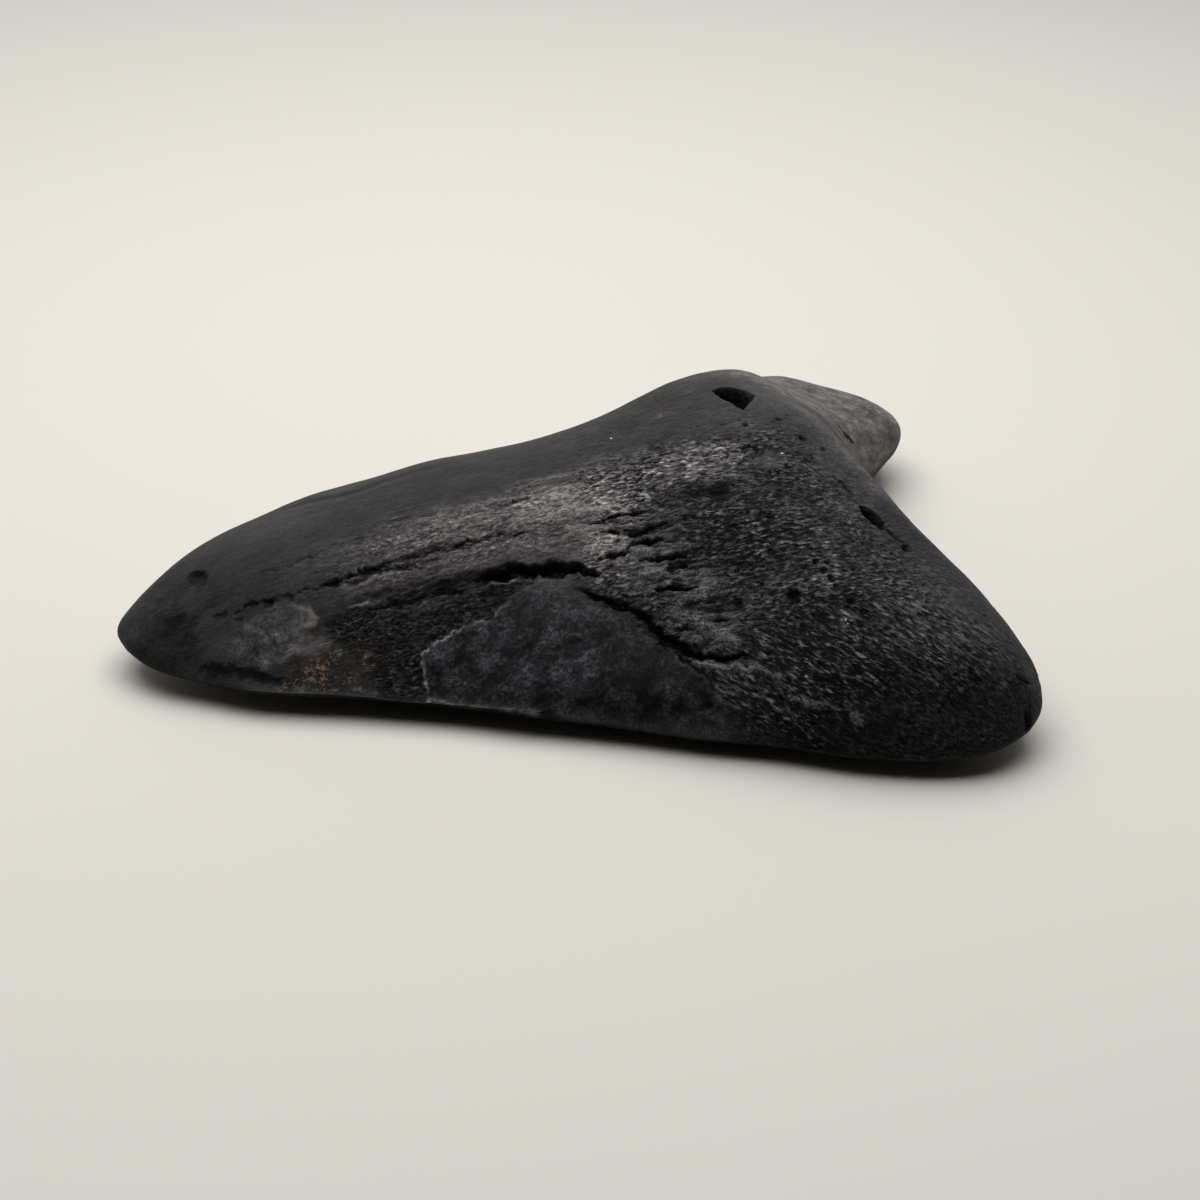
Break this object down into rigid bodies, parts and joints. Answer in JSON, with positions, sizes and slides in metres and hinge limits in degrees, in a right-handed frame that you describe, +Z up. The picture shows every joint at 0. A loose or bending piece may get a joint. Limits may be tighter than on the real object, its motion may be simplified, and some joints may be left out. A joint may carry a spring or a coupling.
{
  "type": "megalodon tooth",
  "caption": "Water-worn fossil shark tooth with a broad triangular crown and a thick two-lobed root, lying on its flatter face.",
  "frame": {"origin": "middle of the footprint's box, on the surface that the tooth lies on", "axes": "+X along the tooth from the tip to the root, +Y from the near lobe to the far lobe, +Z up, out of the domed face"},
  "size_m": [0.1258, 0.1036, 0.0297],
  "materials": {
    "fossil": "charcoal black mineralised tooth, matt and finely pitted, with smoother worn enamel patches"
  },
  "bodies": {
    "root": {"tooth": "fossil"}
  },
  "joints": []
}
